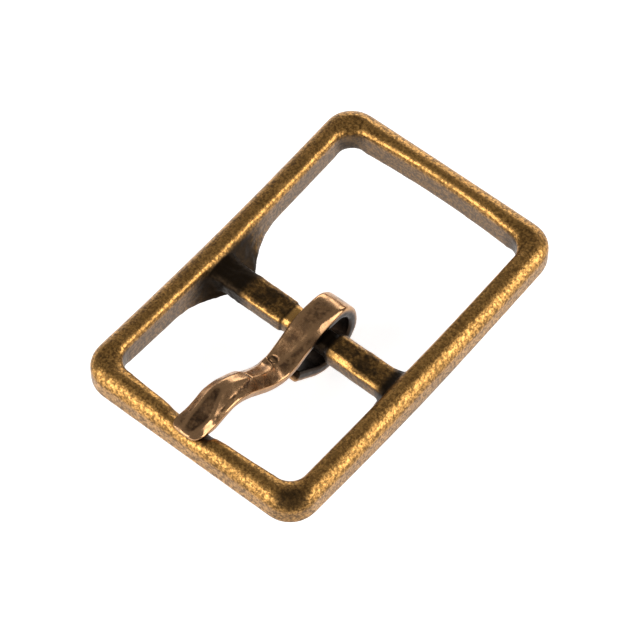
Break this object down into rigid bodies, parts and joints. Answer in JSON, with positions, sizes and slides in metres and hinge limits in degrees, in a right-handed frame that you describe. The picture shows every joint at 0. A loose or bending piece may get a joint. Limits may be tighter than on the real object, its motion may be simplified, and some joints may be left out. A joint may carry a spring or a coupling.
{
  "type": "centre bar strap buckle",
  "caption": "Rounded rectangular cast strap buckle with an integral centre bar and a loose hooked prong that turns on it.",
  "frame": {"origin": "middle of the outline in X and Y, at the height of the lowest point, which is the underside of the prong's loop", "axes": "+X along the centre bar, +Y from the end bar that the prong's tip rests on to the far end bar, +Z out of the buckle's face"},
  "size_m": [0.0308, 0.0468, 0.0108],
  "materials": {
    "frame_brass": "antique brass, fine grain, brighter on worn edges and dark in recesses",
    "prong_bronze": "redder antique brass, smoother and glossier than the frame"
  },
  "bodies": {
    "buckle_frame": {"frame": "frame_brass"},
    "buckle_prong": {"prong": "prong_bronze"}
  },
  "joints": [
    {"name": "prong_hinge", "type": "hinge", "parent": "buckle_frame", "child": "buckle_prong", "pos_m": [0, -0.00275, 0.006], "axis": [-1, 0, 0], "range_deg": [0, 340]}
  ]
}
